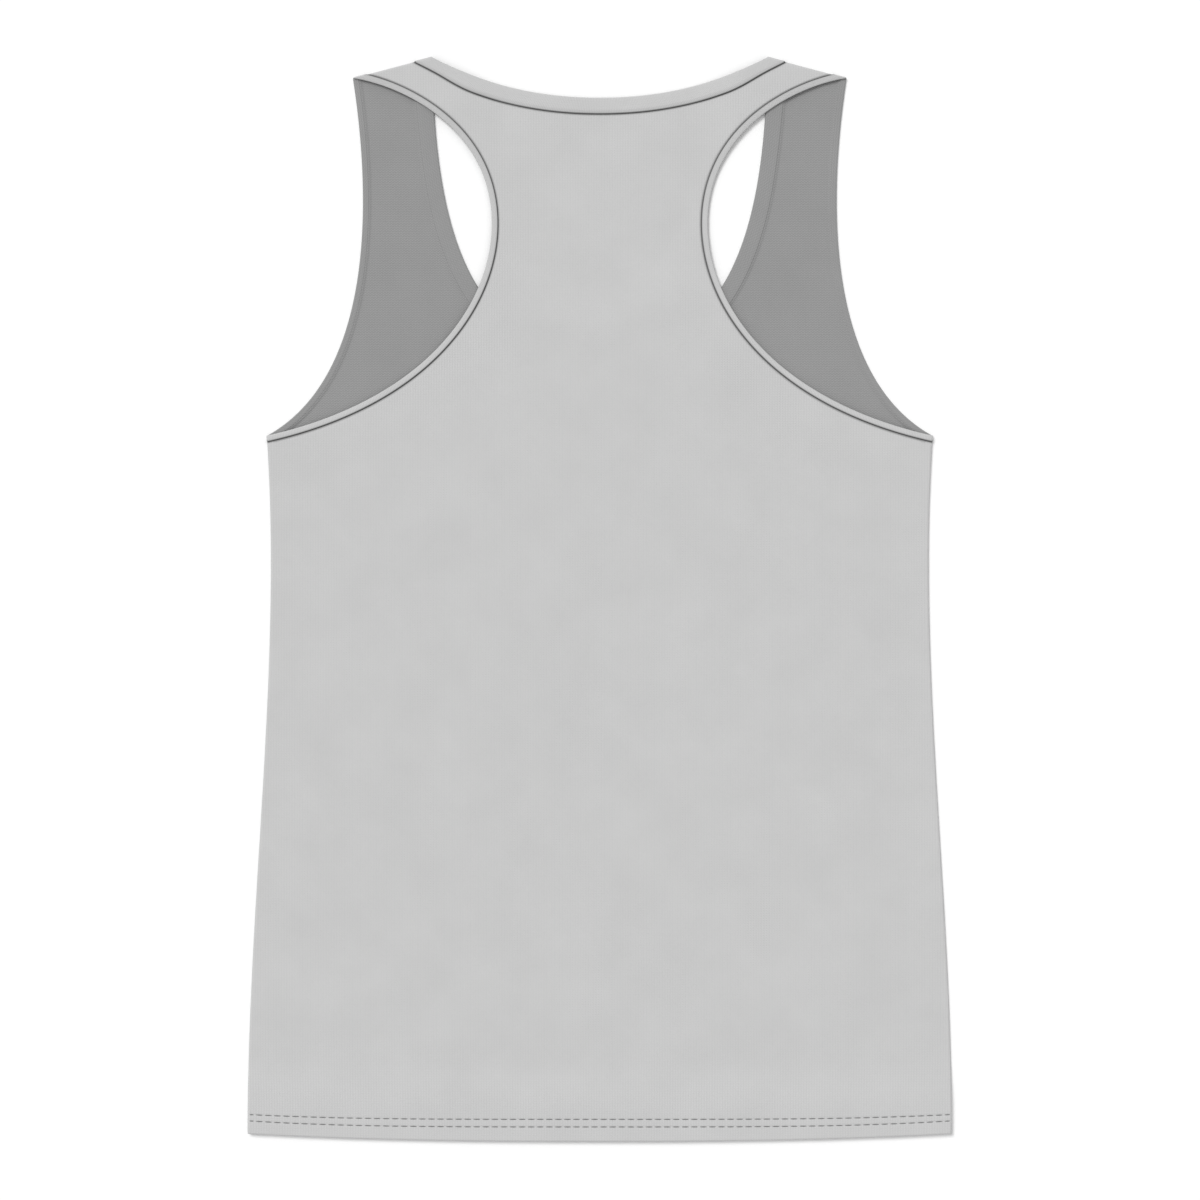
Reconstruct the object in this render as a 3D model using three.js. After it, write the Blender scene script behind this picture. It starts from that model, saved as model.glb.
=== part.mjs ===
// A racerback tank top in plain jersey, lying flat on a table with its back up and its front under it.
// A maker cuts five pieces: back, front, one neckband and one narrow binding for each armhole. The hem is
// turned up inside both panels. The neckband and the bindings are loops that fold over at the shoulders,
// and the bindings fold again at the underarms.
// Millimetres. +X is the wearer's right, +Y runs from the hem to the shoulders, +Z is up from the table.
// The origin is on the table, under the middle of the garment.
import * as THREE from "three";

// Garment sizes, measured flat
const BODY_LENGTH = 704.6; // neck point down to the lowest point of the hem
const NECK_WIDTH = 218.4; // between the two neck points
const SHOULDER_WIDTH = 321.2; // between the two shoulder tips
const SHOULDER_DROP = 13.6; // shoulder tip below neck point
const BACK_NECK_DROP = 26.1;
const FRONT_NECK_DROP = 192;
const RACERBACK_WIDTH = 140.8; // narrowest width of the back
const RACERBACK_DROP = 101.7;
const CHEST_WIDTH = 433;
const UNDERARM_DROP = 246;
const HEM_WIDTH = 457.8;
const HEM_RISE = 5; // hem corner above the middle of the hem
const HEM_POWER = 2.4; // how late the hem line starts to rise towards its corner

// Cloth and trims
const CLOTH = 1; // jersey wall
const GAP = 0.3; // between pieces, and between layers that lie on each other
const NECKBAND_WIDTH = 10.6;
const NECKBAND_AT_SHOULDER = 12; // its width along the shoulder seam
const NECKBAND_EASES = 0.7; // share of the neckline where it starts to ease to that width
const NECKBAND_THICKNESS = 1.8; // jersey folded double
const BINDING_WIDTH = 4;
const BINDING_THICKNESS = 1.6;
const HEM_DEPTH = 16; // cloth turned up inside
const FOLD_FLATTEN = 0.6; // a pressed fold reaches this share of its thickness past the seam line

// How the upper layer lies over what is under it
const OVER_EDGE = 15; // stays lifted this far to each side of a trim under it
const SETTLE = 32; // then comes down to the table, or to the cloth, over this length
const OVER_HEM = 4; // stays lifted this far above a turned-up hem under it
const HEM_SETTLE = 30;

// Mesh steps
const COLUMNS = { back: 10, front: 8 }; // across half a panel
const CURVE_SAMPLES = 240;

const COLOUR = 0xc9c9c9; // right side of the jersey

const point = (x, y) => new THREE.Vector2(x, y);
const smooth = THREE.MathUtils.smoothstep;
const mix = THREE.MathUtils.lerp;
const toLayer = CLOTH + GAP; // underside of the upper layer, from the table, where it lies on the front
const hemStack = 2 * CLOTH + GAP; // one panel's hem, turned up
const halfLength = BODY_LENGTH / 2;

// The corners of the right half
const corner = {
  neck: point(NECK_WIDTH / 2, halfLength),
  tip: point(SHOULDER_WIDTH / 2, halfLength - SHOULDER_DROP),
  underarm: point(CHEST_WIDTH / 2, halfLength - UNDERARM_DROP),
  racerback: point(RACERBACK_WIDTH / 2, halfLength - RACERBACK_DROP),
  hem: point(HEM_WIDTH / 2, HEM_RISE - halfLength),
  backNeck: point(0, halfLength - BACK_NECK_DROP),
  frontNeck: point(0, halfLength - FRONT_NECK_DROP),
};

// Each cut line of the right half: its ends, and how far its tangent pulls at each end
const cutLines = {
  backNeck: [{ from: "backNeck", pull: [40.4, 0], to: "neck", pullBack: [-34.9, -17.8] }],
  frontNeck: [{ from: "frontNeck", pull: [97.9, 0], to: "neck", pullBack: [-2, -80.9] }],
  backArmhole: [
    { from: "underarm", pull: [-102.4, 22.8], to: "racerback", pullBack: [-3.8, -58] },
    { from: "racerback", pull: [3.8, 58], to: "tip", pullBack: [-29.9, -4.4] },
  ],
  frontArmhole: [{ from: "underarm", pull: [-79.2, 43.6], to: "tip", pullBack: [-7.6, -48.1] }],
  side: [{ from: "hem", pull: [0.2, 152], to: "underarm", pullBack: [-10.2, -151.6] }],
};

// A cut line as evenly spaced points
function lineOf(name) {
  const path = new THREE.CurvePath();
  for (const stretch of cutLines[name]) {
    const start = corner[stretch.from];
    const end = corner[stretch.to];
    path.add(
      new THREE.CubicBezierCurve(
        start,
        start.clone().add(point(...stretch.pull)),
        end.clone().add(point(...stretch.pullBack)),
        end,
      ),
    );
  }
  return path.getSpacedPoints(CURVE_SAMPLES);
}

const cross = (a, b) => a.x * b.y - a.y * b.x;

// A line moved sideways into the cloth: side 1 is to the left of its travel, -1 to the right
function movedInto(line, distance, side) {
  return line.map((p, i) => {
    const before = line[Math.max(i - 1, 0)];
    const after = line[Math.min(i + 1, line.length - 1)];
    const along = after.clone().sub(before).normalize();
    return point(p.x - side * distance * along.y, p.y + side * distance * along.x);
  });
}

// A line whose last end is cut back or carried on until it meets a straight seam
function endedOn(line, seam) {
  const beyond = (p) => cross(seam.along, p.clone().sub(seam.at)) < 0;
  const kept = line.slice();
  while (kept.length > 2 && beyond(kept[kept.length - 1])) kept.pop();
  const last = kept[kept.length - 1];
  const heading = last.clone().sub(kept[kept.length - 2]).normalize();
  const reach = cross(seam.at.clone().sub(last), seam.along) / cross(heading, seam.along);
  return [...kept, last.clone().addScaledVector(heading, reach)];
}

const startedOn = (line, seam) => endedOn(line.slice().reverse(), seam).reverse();

// The point at a share of a line's length
function pointAt(line, share) {
  const lengths = [0];
  for (let i = 1; i < line.length; i++) lengths.push(lengths[i - 1] + line[i].distanceTo(line[i - 1]));
  const wanted = share * lengths[lengths.length - 1];
  let i = 1;
  while (i < line.length - 1 && lengths[i] < wanted) i++;
  const part = (wanted - lengths[i - 1]) / (lengths[i] - lengths[i - 1]);
  return line[i - 1].clone().lerp(line[i], part);
}

// The distance from a point to a line, and whether the point is to the left of the line's travel
function besideLine(line, p) {
  let nearest = Infinity;
  let left = false;
  for (let i = 1; i < line.length; i++) {
    const run = line[i].clone().sub(line[i - 1]);
    const to = p.clone().sub(line[i - 1]);
    const share = THREE.MathUtils.clamp(to.dot(run) / run.lengthSq(), 0, 1);
    const away = to.clone().addScaledVector(run, -share).length();
    if (away < nearest) {
      nearest = away;
      left = cross(run, to) > 0;
    }
  }
  return { distance: nearest, left };
}

const outline = Object.fromEntries(Object.keys(cutLines).map((name) => [name, lineOf(name)]));

// The two seams of the right half that trims fold over, as straight lines with the garment on their left
const seams = {
  shoulder: { at: corner.tip, along: corner.neck.clone().sub(corner.tip).normalize() },
  side: { at: corner.underarm, along: corner.underarm.clone().sub(pointAt(outline.side, 0.99)).normalize() },
};

// The neckband's seam line, or the panel's edge a gap away from it. Its last stretch is eased along the
// shoulder seam, so that the band is as wide on the back as on the front where it folds over
function neckSeamLine(panel, gap) {
  const seamAt = (distance) => endedOn(movedInto(outline[panel.neck], distance, -1), seams.shoulder);
  const bandEnd = seamAt(NECKBAND_WIDTH).pop();
  const shift = corner.neck.clone().addScaledVector(seams.shoulder.along, -NECKBAND_AT_SHOULDER).sub(bandEnd);
  const line = seamAt(NECKBAND_WIDTH + gap);
  line.forEach((p, i) => p.addScaledVector(shift, smooth(i / (line.length - 1), NECKBAND_EASES, 1)));
  line[0].x = 0;
  return line;
}

// The binding's seam line, or the panel's edge a gap away from it
function armSeamLine(panel, gap) {
  const line = movedInto(outline[panel.armhole], BINDING_WIDTH + gap, 1);
  return startedOn(endedOn(line, seams.shoulder), seams.side);
}

// Height of the upper layer's underside: it lies on the front's cloth, is lifted by the front's trims and
// hem, and comes down to the table where the front's deep neckline leaves nothing under it
function lift(x, y, aboveHem = Infinity) {
  const p = point(Math.abs(x), y);
  const neck = besideLine(outline.frontNeck, p);
  const inOpening = neck.left ? neck.distance : -neck.distance;
  const overNeckband = NECKBAND_THICKNESS + GAP;
  if (inOpening > 0) return overNeckband * (1 - smooth(inOpening, OVER_EDGE, OVER_EDGE + SETTLE));

  const pastNeckband = -inOpening - NECKBAND_WIDTH;
  const byNeckband = mix(overNeckband, toLayer, smooth(pastNeckband, OVER_EDGE, OVER_EDGE + SETTLE));
  const pastBinding = besideLine(outline.frontArmhole, p).distance - BINDING_WIDTH;
  const overBinding = BINDING_THICKNESS + GAP;
  const byBinding = mix(overBinding, toLayer, smooth(pastBinding, OVER_EDGE, OVER_EDGE + SETTLE));
  const overHem = hemStack + GAP + CLOTH + GAP;
  const pastHem = aboveHem - HEM_DEPTH;
  const byHem = mix(overHem, toLayer, smooth(pastHem, OVER_HEM, OVER_HEM + HEM_SETTLE));
  return Math.max(byNeckband, byBinding, byHem);
}

// A closed solid put together from points that its faces share
class Solid {
  constructor() {
    this.places = [];
    this.indexOf = new Map();
    this.triangles = [];
  }

  add(x, y, z) {
    const key = [x, y, z].map((value) => (Math.round(value * 1e4) / 1e4 + 0).toFixed(4)).join();
    if (!this.indexOf.has(key)) {
      this.indexOf.set(key, this.places.length / 3);
      this.places.push(x, y, z);
    }
    return this.indexOf.get(key);
  }

  quad(a, b, c, d, flipped) {
    const corners = flipped ? [d, c, b, a] : [a, b, c, d];
    this.triangle(corners[0], corners[1], corners[2]);
    this.triangle(corners[0], corners[2], corners[3]);
  }

  triangle(a, b, c) {
    if (a !== b && b !== c && a !== c) this.triangles.push(a, b, c);
  }

  geometry() {
    const made = new THREE.BufferGeometry();
    made.setAttribute("position", new THREE.Float32BufferAttribute(this.places, 3));
    made.setIndex(this.triangles);
    made.computeVertexNormals();
    return made;
  }
}

// Heights of the two faces of a turned-up hem, and how far the fold reaches, at an angle round the fold
function hemFold(angle) {
  const middle = CLOTH + GAP / 2;
  const turn = Math.cos(angle);
  const bulge = Math.sin(angle);
  return {
    right: middle - middle * turn,
    wrong: middle - (GAP / 2) * turn,
    rightReach: middle * bulge,
    wrongReach: (GAP / 2) * bulge,
  };
}

// The rows of the hem's turned-up part and fold, by distance above the hem and angle round the fold
const HEM_ROWS = [
  { above: HEM_DEPTH, angle: 180 },
  { above: 0, angle: 180 },
  { above: 0, angle: 135 },
  { above: 0, angle: 90 },
  { above: 0, angle: 45 },
];
// The rows of the body between hem and underarm, by distance above the hem on the centre line
const BODY_ROWS = [0, 16, 28, 40, 52, 80, 115, 155, 200, 245, 290, 335, 375, 410, 435];

// How rows run from the inner rail (centre line, then neckline) to the outer rail (armhole): each stretch
// ends at a share of the armhole, at a height on the centre line or at a share of the neckline
const PANELS = {
  back: {
    columns: COLUMNS.back,
    neck: "backNeck",
    armhole: "backArmhole",
    firstHeight: 98,
    stretches: [
      { rows: 20, armhole: 0.62, height: 275 },
      { rows: 5, armhole: 0.74, height: corner.backNeck.y - NECKBAND_WIDTH - GAP },
      { rows: 16, armhole: 1, neckline: 1 },
    ],
  },
  front: {
    columns: COLUMNS.front,
    neck: "frontNeck",
    armhole: "frontArmhole",
    firstHeight: 92,
    stretches: [
      { rows: 6, armhole: 0.2, height: corner.frontNeck.y - NECKBAND_WIDTH - GAP },
      { rows: 10, armhole: 0.36, neckline: 0.36 },
      { rows: 16, armhole: 1, neckline: 1 },
    ],
  },
};

// The shares of a rail where a panel's rows end, which are also the sections of the trim sewn on there
function sharesAlong(panel, rail) {
  const shares = [0];
  for (const stretch of panel.stretches) {
    if (stretch[rail] === undefined) continue;
    const from = shares[shares.length - 1];
    for (let i = 1; i <= stretch.rows; i++) shares.push(mix(from, stretch[rail], i / stretch.rows));
  }
  return shares;
}

// The rails and the rows of a half panel, from the hem's raw edge to the shoulder
function rowsOf(panel) {
  const neckRail = neckSeamLine(panel, GAP);
  const armRail = armSeamLine(panel, GAP);

  const foldLine = -halfLength + CLOTH + GAP / 2;
  const sideRail = outline.side.map((p) => p.clone());
  for (const p of sideRail) p.y += (CLOTH + GAP / 2) * (1 - smooth(p.y, corner.hem.y, corner.underarm.y));
  const sideStart = sideRail[0];
  const sideLine = [...sideRail.filter((p) => p.y < armRail[0].y - 1), armRail[0]];
  const centreLength = panel.firstHeight - foldLine;

  const bodyRow = (above, angle) => {
    const share = above / centreLength;
    return {
      inner: point(0, foldLine + above),
      outer: share === 0 ? sideStart : pointAt(sideLine, share),
      power: mix(HEM_POWER, 1, share),
      above,
      angle,
    };
  };
  const rows = HEM_ROWS.map((row) => bodyRow(row.above, THREE.MathUtils.degToRad(row.angle)));
  for (const above of BODY_ROWS) rows.push(bodyRow(above, 0));

  let from = { armhole: 0, height: panel.firstHeight, neckline: 0 };
  panel.stretches.forEach((stretch, k) => {
    const first = k === 0 ? 0 : 1;
    for (let i = first; i <= stretch.rows; i++) {
      const share = i / stretch.rows;
      const outer = pointAt(armRail, mix(from.armhole, stretch.armhole, share));
      const inner =
        stretch.neckline === undefined
          ? point(0, mix(from.height, stretch.height, share))
          : pointAt(neckRail, mix(from.neckline, stretch.neckline, share));
      rows.push({ inner, outer, power: 1, above: Infinity, angle: 0 });
    }
    from = { neckline: 0, ...stretch };
  });
  return rows;
}

// The front lies face down on the table, so its right side is at the bottom
const frontFaces = (row) => hemFold(row.angle);

// The back lies face up over the front, so the same wall is turned over and lifted
function backFaces(row, x, y) {
  const fold = hemFold(row.angle);
  const underside = row.angle === 0 ? lift(x, y, row.above) : hemStack + GAP + CLOTH + GAP;
  return { ...fold, right: underside + CLOTH - fold.right, wrong: underside + CLOTH - fold.wrong };
}

// A panel: a wall between its right and wrong sides, mirrored over the centre line
function panelGeometry(panel, facesAt, rightSideUp) {
  const solid = new Solid();
  const rows = rowsOf(panel);
  for (const side of [1, -1]) {
    const grid = rows.map((row) =>
      Array.from({ length: panel.columns + 1 }, (_, column) => {
        const share = column / panel.columns;
        const x = mix(row.inner.x, row.outer.x, share);
        const y = mix(row.inner.y, row.outer.y, share ** row.power);
        const faces = facesAt(row, x, y);
        return {
          right: solid.add(side * x, y - faces.rightReach, faces.right),
          wrong: solid.add(side * x, y - faces.wrongReach, faces.wrong),
          onCentre: x === 0,
        };
      }),
    );
    const flipped = (side > 0) !== rightSideUp;
    const last = panel.columns;
    const wall = (a, b, turned) => solid.quad(a.right, b.right, b.wrong, a.wrong, turned);
    for (let i = 1; i < rows.length; i++) {
      for (let j = 1; j <= last; j++) {
        const [a, b, c, d] = [grid[i - 1][j - 1], grid[i - 1][j], grid[i][j], grid[i][j - 1]];
        solid.quad(a.right, b.right, c.right, d.right, flipped);
        solid.quad(a.wrong, b.wrong, c.wrong, d.wrong, !flipped);
      }
      wall(grid[i - 1][last], grid[i][last], !flipped);
      if (!(grid[i - 1][0].onCentre && grid[i][0].onCentre)) wall(grid[i - 1][0], grid[i][0], flipped);
    }
    for (let j = 1; j <= last; j++) {
      wall(grid[0][j - 1], grid[0][j], !flipped);
      wall(grid[rows.length - 1][j - 1], grid[rows.length - 1][j], flipped);
    }
  }
  return solid.geometry();
}

// The section of a folded band: across 0 is its fold at the opening and 1 its seam, up 1 is its right side
const BAND_SECTION = [
  { across: 0.1, up: 0 },
  { across: 0.93, up: 0 },
  { across: 1, up: 0.2 },
  { across: 1, up: 0.8 },
  { across: 0.93, up: 1 },
  { across: 0.1, up: 1 },
  { across: 0, up: 0.7 },
  { across: 0, up: 0.3 },
];
const FOLD_ANGLES = [35, 90, 145];

// The sections of a band along one layer, between its edge line and its seam line
function bandRings(edge, seamLine, shares, thickness, upper) {
  return shares.map((share) => {
    const outer = pointAt(edge, share);
    const inner = pointAt(seamLine, share);
    return BAND_SECTION.map(({ across, up }) => {
      const p = outer.clone().lerp(inner, across);
      const z = upper ? lift(p.x, p.y) + up * thickness : (1 - up) * thickness;
      return new THREE.Vector3(p.x, p.y, z);
    });
  });
}

// The sections where a band folds over a seam, from the ring above the seam to the ring below it
function foldRings(above, below, outward, thickness) {
  const width = (ring) => ring[2].clone().sub(ring[7]).setZ(0);
  const across = width(above);
  const narrow = Math.min(across.length(), width(below).length()) - GAP;
  const along = across.clone().normalize();
  const start = above[7].clone().setZ(0);
  const middle = (above[0].z + thickness) / 2;
  const inside = (above[0].z - thickness) / 2;
  return FOLD_ANGLES.map((degrees) => {
    const angle = THREE.MathUtils.degToRad(degrees);
    return BAND_SECTION.map((section) => {
      const out = inside + section.up * thickness;
      return start
        .clone()
        .addScaledVector(along, section.across * narrow)
        .addScaledVector(outward, FOLD_FLATTEN * out * Math.sin(angle))
        .setZ(middle + out * Math.cos(angle));
    });
  });
}

// A closed loop of rings as a solid
function loopGeometry(rings) {
  const solid = new Solid();
  const placed = rings.map((ring) => ring.map((p) => solid.add(p.x, p.y, p.z)));
  const sides = BAND_SECTION.length;
  placed.forEach((ring, i) => {
    const next = placed[(i + 1) % placed.length];
    for (let k = 0; k < sides; k++) {
      const l = (k + 1) % sides;
      solid.quad(ring[k], ring[l], next[l], next[k], false);
    }
  });
  return solid.geometry();
}

const mirrored = (ring) => ring.map((p) => new THREE.Vector3(-p.x, p.y, p.z));
const outwardOf = (seam) => new THREE.Vector3(seam.along.y, -seam.along.x, 0);

// The neckband: back neckline, over the right shoulder, front neckline, and back over the left shoulder
function neckbandGeometry() {
  const half = (panel, upper) => {
    const shares = sharesAlong(panel, "neckline");
    return bandRings(outline[panel.neck], neckSeamLine(panel, 0), shares, NECKBAND_THICKNESS, upper);
  };
  const back = half(PANELS.back, true);
  const front = half(PANELS.front, false).reverse();
  const over = foldRings(back[back.length - 1], front[0], outwardOf(seams.shoulder), NECKBAND_THICKNESS);
  const right = [...back, ...over, ...front];
  return loopGeometry([...right, ...right.slice(1, -1).reverse().map(mirrored)].reverse());
}

// An armhole's binding: up the back armhole, over the shoulder tip, down the front, and round the underarm
function bindingGeometry(side) {
  const half = (panel, upper) => {
    const shares = sharesAlong(panel, "armhole");
    return bandRings(outline[panel.armhole], armSeamLine(panel, 0), shares, BINDING_THICKNESS, upper);
  };
  const up = half(PANELS.back, true);
  const down = half(PANELS.front, false).reverse();
  const overTip = foldRings(up[up.length - 1], down[0], outwardOf(seams.shoulder), BINDING_THICKNESS);
  const overUnderarm = foldRings(up[0], down[down.length - 1], outwardOf(seams.side), BINDING_THICKNESS);
  const rings = [...up, ...overTip, ...down, ...overUnderarm.reverse()];
  return loopGeometry(side > 0 ? rings : rings.map(mirrored).reverse());
}

function jersey(name, geometry) {
  const cloth = new THREE.MeshStandardMaterial({ color: COLOUR, roughness: 0.92, metalness: 0 });
  const mesh = new THREE.Mesh(geometry, cloth);
  mesh.name = name;
  return mesh;
}

const tankTop = new THREE.Group();
tankTop.add(
  jersey("front_panel", panelGeometry(PANELS.front, frontFaces, false)),
  jersey("back_panel", panelGeometry(PANELS.back, backFaces, true)),
  jersey("neckband", neckbandGeometry()),
  jersey("armhole_binding_right", bindingGeometry(1)),
  jersey("armhole_binding_left", bindingGeometry(-1)),
);

export default tankTop;
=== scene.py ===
"""A racerback tank top in grey jersey, laid flat with its back up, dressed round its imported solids.

The garment is two panels of thin cloth, a neckband and two armhole bindings, and twin-needle hem stitches.
Sizes are in millimetres and become metres where a piece is placed. +X is the wearer's right, +Y runs from
the hem to the shoulders and +Z is up from the table.
"""

from __future__ import annotations

import logging
import math
from collections.abc import Sequence
from dataclasses import dataclass, field
from enum import Enum
from typing import Any, ClassVar

import bmesh
import bpy
import numpy as np
from bmesh.types import BMesh
from bpy.types import Material, Node, NodeSocket, NodeTree, Object
from mathutils import Matrix, Vector

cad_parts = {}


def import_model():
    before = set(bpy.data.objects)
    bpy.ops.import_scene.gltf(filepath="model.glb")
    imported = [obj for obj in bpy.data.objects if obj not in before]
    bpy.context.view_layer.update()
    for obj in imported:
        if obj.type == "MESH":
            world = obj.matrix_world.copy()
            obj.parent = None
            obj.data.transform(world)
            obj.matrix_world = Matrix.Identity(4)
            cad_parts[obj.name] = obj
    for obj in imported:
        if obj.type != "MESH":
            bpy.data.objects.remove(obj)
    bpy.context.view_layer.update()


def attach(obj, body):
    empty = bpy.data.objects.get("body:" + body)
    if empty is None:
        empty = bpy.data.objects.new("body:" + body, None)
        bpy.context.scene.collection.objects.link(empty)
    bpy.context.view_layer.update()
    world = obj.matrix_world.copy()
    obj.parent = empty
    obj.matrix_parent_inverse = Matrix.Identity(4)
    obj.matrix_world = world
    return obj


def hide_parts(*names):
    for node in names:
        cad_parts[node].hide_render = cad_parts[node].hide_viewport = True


log = logging.getLogger("tank_top")

MM = 0.001
JOIN_WITHIN = 0.001 * MM


def smooth(value: np.ndarray | float, low: float, high: float) -> np.ndarray:
    """Rises smoothly from 0 at low to 1 at high."""
    share = np.clip((np.asarray(value, dtype=float) - low) / (high - low), 0.0, 1.0)
    return share * share * (3.0 - 2.0 * share)


def linear(colour: str) -> tuple[float, float, float, float]:
    """Turns an sRGB hex colour into a linear one.

    Args:
        colour: the colour as "#RRGGBB".

    Returns:
        Linear red, green and blue, and an alpha of 1.
    """
    channels = (int(colour[i : i + 2], 16) / 255.0 for i in (1, 3, 5))
    red, green, blue = (c / 12.92 if c <= 0.04045 else ((c + 0.055) / 1.055) ** 2.4 for c in channels)
    return red, green, blue, 1.0


class Layer(Enum):
    """The two layers of the garment as it lies on its front."""

    FRONT = "front"
    BACK = "back"


class Line(Enum):
    """The cut lines of the right half of the garment."""

    BACK_NECK = "back neckline"
    FRONT_NECK = "front neckline"
    BACK_ARMHOLE = "back armhole"
    FRONT_ARMHOLE = "front armhole"
    SIDE = "side seam"


ARMHOLES = (Line.BACK_ARMHOLE, Line.FRONT_ARMHOLE)
BACK_EDGES = (Line.BACK_NECK, Line.BACK_ARMHOLE)


class KnitFace(Enum):
    """The two faces of jersey: smooth columns of V stitches, and rows of purl bumps."""

    RIGHT = "right side"
    WRONG = "wrong side"


# Lines in the plane of the table


def along(line: np.ndarray, shares: Sequence[float] | np.ndarray) -> np.ndarray:
    """Finds the points at shares of a line's length.

    Args:
        line: the line's points.
        shares: how far along it each point is, from 0 to 1.

    Returns:
        One point for each share.
    """
    steps = np.linalg.norm(np.diff(line, axis=0), axis=1)
    length = np.concatenate(([0.0], np.cumsum(steps)))
    wanted = np.asarray(shares) * length[-1]
    return np.stack([np.interp(wanted, length, line[:, axis]) for axis in (0, 1)], axis=1)


def length_of(line: np.ndarray) -> float:
    """The length of a line."""
    return float(np.linalg.norm(np.diff(line, axis=0), axis=1).sum())


def moved_sideways(line: np.ndarray, distance: float) -> np.ndarray:
    """Moves a line sideways.

    Args:
        line: the line's points.
        distance: how far to the left of its travel, or to the right where it is negative.

    Returns:
        The moved line.
    """
    heading = np.gradient(line, axis=0)
    heading /= np.linalg.norm(heading, axis=1, keepdims=True)
    return line + distance * np.stack([-heading[:, 1], heading[:, 0]], axis=1)


def cross(a: np.ndarray, b: np.ndarray) -> np.ndarray:
    """The plane cross product of two vectors, or of two lists of them."""
    return a[..., 0] * b[..., 1] - a[..., 1] * b[..., 0]


@dataclass(frozen=True)
class Seam:
    """A straight seam that the trims fold over, with the garment on its left."""

    at: np.ndarray
    heading: np.ndarray

    def ends(self, line: np.ndarray) -> np.ndarray:
        """Cuts a line's last end back, or carries it on, until it meets the seam.

        Args:
            line: the line's points.

        Returns:
            The line, ending on the seam.
        """
        inside = cross(self.heading, line - self.at) >= 0.0
        kept = line[: len(line) - int(np.argmax(inside[::-1]))]
        heading = kept[-1] - kept[-2]
        reach = cross(self.at - kept[-1], self.heading) / cross(heading, self.heading)
        return np.vstack([kept, kept[-1] + reach * heading])

    def outward(self) -> np.ndarray:
        """The direction out of the garment, square to the seam."""
        return np.array([self.heading[1], -self.heading[0], 0.0])


def on_right_half(points: np.ndarray) -> np.ndarray:
    """The same points, with those of the left half mirrored to the right."""
    return np.stack([np.abs(points[:, 0]), points[:, 1]], axis=1)


def away_from(line: np.ndarray, points: np.ndarray) -> tuple[np.ndarray, np.ndarray]:
    """Measures how far points are from a line.

    Args:
        line: the line's points.
        points: the points to measure, one a row.

    Returns:
        Each point's distance, and whether it is to the left of the line's travel.
    """
    run = np.diff(line, axis=0)
    to = points[:, None, :] - line[None, :-1, :]
    share = np.clip((to * run).sum(axis=2) / (run * run).sum(axis=1), 0.0, 1.0)
    distance = np.linalg.norm(to - share[..., None] * run, axis=2)
    nearest = distance.argmin(axis=1)
    rows = np.arange(len(points))
    left = cross(run[nearest], to[rows, nearest]) > 0.0
    return distance[rows, nearest], left


# The cut


@dataclass(frozen=True)
class Bend:
    """One curved stretch of a cut line: its two ends, and the pull of its tangent at each."""

    start: tuple[float, float]
    pull: tuple[float, float]
    end: tuple[float, float]
    pull_back: tuple[float, float]

    def points(self, count: int) -> np.ndarray:
        """Draws the stretch as a cubic curve.

        Args:
            count: how many points to give it.

        Returns:
            The points.
        """
        t = np.linspace(0.0, 1.0, count)[:, None]
        first, last = np.array(self.start), np.array(self.end)
        second, third = first + self.pull, last + self.pull_back
        return (1 - t) ** 3 * first + 3 * (1 - t) ** 2 * t * second + 3 * (1 - t) * t**2 * third + t**3 * last


@dataclass(frozen=True)
class StitchRow:
    """One row of hem stitches: its height above the hem at the centre, and its rise to the side seams."""

    above: float
    rise: float


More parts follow.
